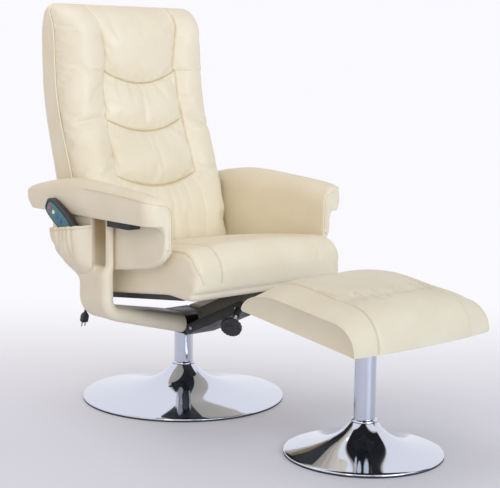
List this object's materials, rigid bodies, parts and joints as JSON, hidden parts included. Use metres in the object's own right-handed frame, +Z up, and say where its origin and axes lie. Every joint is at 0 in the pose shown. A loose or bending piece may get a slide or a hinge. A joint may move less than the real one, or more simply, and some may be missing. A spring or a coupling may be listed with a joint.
{
  "type": "massage recliner with footstool",
  "caption": "Cream upholstered swivel recliner with a scalloped high back, padded arms, a side pocket with a massage handset, and a matching footstool, on chrome trumpet bases.",
  "frame": {"origin": "on the floor under the chair's swivel column, on the underside of the chair's floor pad", "axes": "+Z up, the sitter faces -Y towards the footstool, +X to the sitter's left"},
  "size_m": [0.6721, 1.1763, 1.032],
  "materials": {
    "cream_leather": "satin",
    "chrome": "polished",
    "black_steel": "satin",
    "bare_steel": "satin",
    "black_plastic": "matte",
    "black_rubber": "matte",
    "board": "matte",
    "teal_face": "gloss",
    "red_key": "gloss",
    "yellow_key": "gloss",
    "blue_key": "gloss"
  },
  "bodies": {
    "bases": {"chair_base_disc": "chrome", "chair_floor_pad": "black_rubber", "chair_base_ballast": "black_steel", "chair_base_bolt": "bare_steel", "chair_column_tube": "chrome", "chair_column_collar": "chrome", "chair_column_bush": "black_plastic", "stool_base_disc": "chrome", "stool_floor_pad": "black_rubber", "stool_base_ballast": "black_steel", "stool_base_bolt": "bare_steel", "stool_column_tube": "chrome", "stool_column_collar": "chrome", "stool_column_bush": "black_plastic"},
    "swivel_frame": {"swivel_spindle": "bare_steel", "hub_box": "black_steel", "recline_channel": "black_steel", "right_frame": "cream_leather", "left_frame": "cream_leather", "right_arm_panel": "cream_leather", "left_arm_panel": "cream_leather", "right_arm_pad": "cream_leather", "left_arm_pad": "cream_leather", "right_arm_bracket": "black_steel", "left_arm_bracket": "black_steel", "right_arm_bolt": "bare_steel", "left_arm_bolt": "bare_steel", "right_pivot_bolt": "bare_steel", "left_pivot_bolt": "bare_steel", "side_pocket": "cream_leather", "lead_gland": "black_rubber", "power_lead": "black_rubber", "power_plug": "black_plastic"},
    "seat": {"slider_rail": "bare_steel", "seat_bracket": "black_steel", "seat_hinge_lug": "black_steel", "seat_cushion": "cream_leather", "seat_board": "black_plastic", "seat_motor": "black_plastic"},
    "backrest": {"back_shell": "cream_leather", "back_board": "board", "back_cushion": "cream_leather", "lower_back_motor": "black_plastic", "upper_back_motor": "black_plastic", "control_box": "black_plastic", "back_hinge_lug": "black_steel", "right_pivot_plate": "black_steel", "left_pivot_plate": "black_steel"},
    "knob": {"recline_knob": "black_plastic", "knob_rod": "bare_steel"},
    "handset": {"handset_case": "black_plastic", "handset_face": "teal_face"},
    "power_key": {"power_button": "red_key"},
    "mode_key": {"mode_button": "yellow_key"},
    "level_key": {"level_button": "blue_key"},
    "timer_key": {"timer_button": "blue_key"},
    "stool_top": {"stool_spindle": "bare_steel", "stool_top_plate": "black_steel", "stool_board": "board", "stool_cushion": "cream_leather"}
  },
  "joints": [
    {"name": "swivel", "type": "hinge", "parent": "bases", "child": "swivel_frame", "pos_m": [0, 0, 0.181], "axis": [0, 0, 1], "continuous": true},
    {"name": "recline", "type": "hinge", "parent": "swivel_frame", "child": "backrest", "pos_m": [0, 0.17, 0.5], "axis": [-1, 0, 0], "range_deg": [0, 30]},
    {"name": "seat_slide", "type": "slide", "parent": "swivel_frame", "child": "seat", "axis": [0, -0.9135, 0.4067], "range_m": [0, 0.104]},
    {"name": "knob_turn", "type": "hinge", "parent": "swivel_frame", "child": "knob", "pos_m": [-0.0503, -0.276, 0.277], "axis": [-0.7447, -0.4259, -0.5138], "range_deg": [0, 360]},
    {"name": "handset_draw", "type": "slide", "parent": "swivel_frame", "child": "handset", "axis": [0, 0.866, 0.5], "range_m": [0, 0.1]},
    {"name": "power_press", "type": "slide", "parent": "handset", "child": "power_key", "axis": [1, 0, 0], "range_m": [0, 0.001], "stiffness_N_per_m": 600, "springref_m": -0.0006},
    {"name": "mode_press", "type": "slide", "parent": "handset", "child": "mode_key", "axis": [1, 0, 0], "range_m": [0, 0.001], "stiffness_N_per_m": 600, "springref_m": -0.0006},
    {"name": "level_press", "type": "slide", "parent": "handset", "child": "level_key", "axis": [1, 0, 0], "range_m": [0, 0.001], "stiffness_N_per_m": 600, "springref_m": -0.0006},
    {"name": "timer_press", "type": "slide", "parent": "handset", "child": "timer_key", "axis": [1, 0, 0], "range_m": [0, 0.001], "stiffness_N_per_m": 600, "springref_m": -0.0006},
    {"name": "stool_swivel", "type": "hinge", "parent": "bases", "child": "stool_top", "pos_m": [0, -0.6645, 0.2884], "axis": [0, 0, 1], "continuous": true}
  ],
  "couplings": [
    {"joint": "seat_slide", "follows": "recline", "m_per_rad": 0.198}
  ]
}
